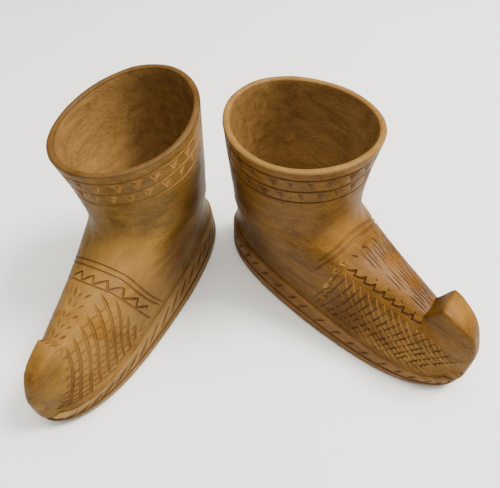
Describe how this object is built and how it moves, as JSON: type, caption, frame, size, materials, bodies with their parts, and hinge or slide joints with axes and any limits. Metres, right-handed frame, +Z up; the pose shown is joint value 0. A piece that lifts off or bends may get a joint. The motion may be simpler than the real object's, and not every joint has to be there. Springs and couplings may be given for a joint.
{
  "type": "wooden boot pair",
  "caption": "Hollow hand-carved wooden boots with flared open shafts, incised vamps and upturned toe horns, each on its own sole board.",
  "frame": {"origin": "middle of the pair's footprint, on the surface that the soles stand on", "axes": "+Z up; -Y is the way the toes point, splayed apart; +X towards the wearer's left boot"},
  "size_m": [0.176, 0.1154, 0.0929],
  "materials": {
    "carved_wood": "satin",
    "sole_wood": "satin"
  },
  "bodies": {
    "left_boot": {"left_upper": "carved_wood", "left_sole": "sole_wood"},
    "right_boot": {"right_upper": "carved_wood", "right_sole": "sole_wood"}
  },
  "joints": [
    {"name": "right_boot_lift", "type": "slide", "parent": "left_boot", "child": "right_boot", "axis": [0, 0, 1], "range_m": [0, 0.15]}
  ]
}
